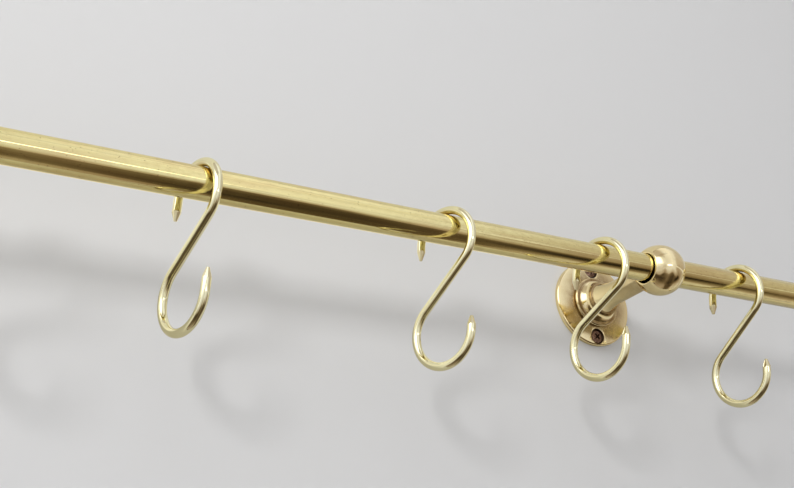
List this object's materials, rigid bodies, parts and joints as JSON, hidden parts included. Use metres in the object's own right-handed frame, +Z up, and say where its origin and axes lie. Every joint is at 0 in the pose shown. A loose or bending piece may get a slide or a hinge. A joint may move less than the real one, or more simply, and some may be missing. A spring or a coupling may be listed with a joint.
{
  "type": "wall rail with s-hooks",
  "caption": "Round brass kitchen rail held off the wall by bored ball brackets on turned arms and roses, with sliding S-hooks of bent wire for utensils.",
  "frame": {"origin": "on the wall, midway between the brackets, at the height of the rail", "axes": "+X along the rail, to the right as seen from the room; +Y into the wall; +Z up"},
  "size_m": [0.916, 0.1171, 0.1005],
  "materials": {
    "rail_brass": "brushed along its length, lightly tarnished",
    "hook_brass": "satin, drawn wire",
    "bracket_brass": "polished casting",
    "cap_brass": "polished, turned",
    "bronzed_screws": "dark bronze plated",
    "joining_steel": "zinc plated"
  },
  "bodies": {
    "rail_on_wall": {"rail_tube": "rail_brass", "end_cap_left": "cap_brass", "end_cap_right": "cap_brass", "wall_rose_left": "bracket_brass", "bracket_arm_left": "bracket_brass", "bracket_ball_left": "bracket_brass", "arm_fixing_screw_left": "joining_steel", "ball_stud_left": "joining_steel", "grub_screw_left": "joining_steel", "wall_screw_left_upper": "bronzed_screws", "wall_screw_left_lower": "bronzed_screws", "wall_rose_right": "bracket_brass", "bracket_arm_right": "bracket_brass", "bracket_ball_right": "bracket_brass", "arm_fixing_screw_right": "joining_steel", "ball_stud_right": "joining_steel", "grub_screw_right": "joining_steel", "wall_screw_right_upper": "bronzed_screws", "wall_screw_right_lower": "bronzed_screws"},
    "hook_1": {"s_hook_1": "hook_brass"},
    "hook_2": {"s_hook_2": "hook_brass"},
    "hook_3": {"s_hook_3": "hook_brass"},
    "hook_4": {"s_hook_4": "hook_brass"},
    "hook_5": {"s_hook_5": "hook_brass"},
    "hook_6": {"s_hook_6": "hook_brass"},
    "hook_7": {"s_hook_7": "hook_brass"},
    "hook_8": {"s_hook_8": "hook_brass"}
  },
  "joints": [
    {"name": "hook_1_slide", "type": "slide", "parent": "rail_on_wall", "child": "hook_1", "axis": [1, 0, 0], "range_m": [-0.085, 0.043]},
    {"name": "hook_2_slide", "type": "slide", "parent": "rail_on_wall", "child": "hook_2", "axis": [1, 0, 0], "range_m": [-0.029, 0.041]},
    {"name": "hook_3_slide", "type": "slide", "parent": "rail_on_wall", "child": "hook_3", "axis": [1, 0, 0], "range_m": [-0.041, 0.043]},
    {"name": "hook_4_slide", "type": "slide", "parent": "rail_on_wall", "child": "hook_4", "axis": [1, 0, 0], "range_m": [-0.043, 0.044]},
    {"name": "hook_5_slide", "type": "slide", "parent": "rail_on_wall", "child": "hook_5", "axis": [1, 0, 0], "range_m": [-0.044, 0.06]},
    {"name": "hook_6_slide", "type": "slide", "parent": "rail_on_wall", "child": "hook_6", "axis": [1, 0, 0], "range_m": [-0.06, 0.045]},
    {"name": "hook_7_slide", "type": "slide", "parent": "rail_on_wall", "child": "hook_7", "axis": [1, 0, 0], "range_m": [-0.045, 0.026]},
    {"name": "hook_8_slide", "type": "slide", "parent": "rail_on_wall", "child": "hook_8", "axis": [1, 0, 0], "range_m": [-0.043, 0.085]}
  ]
}
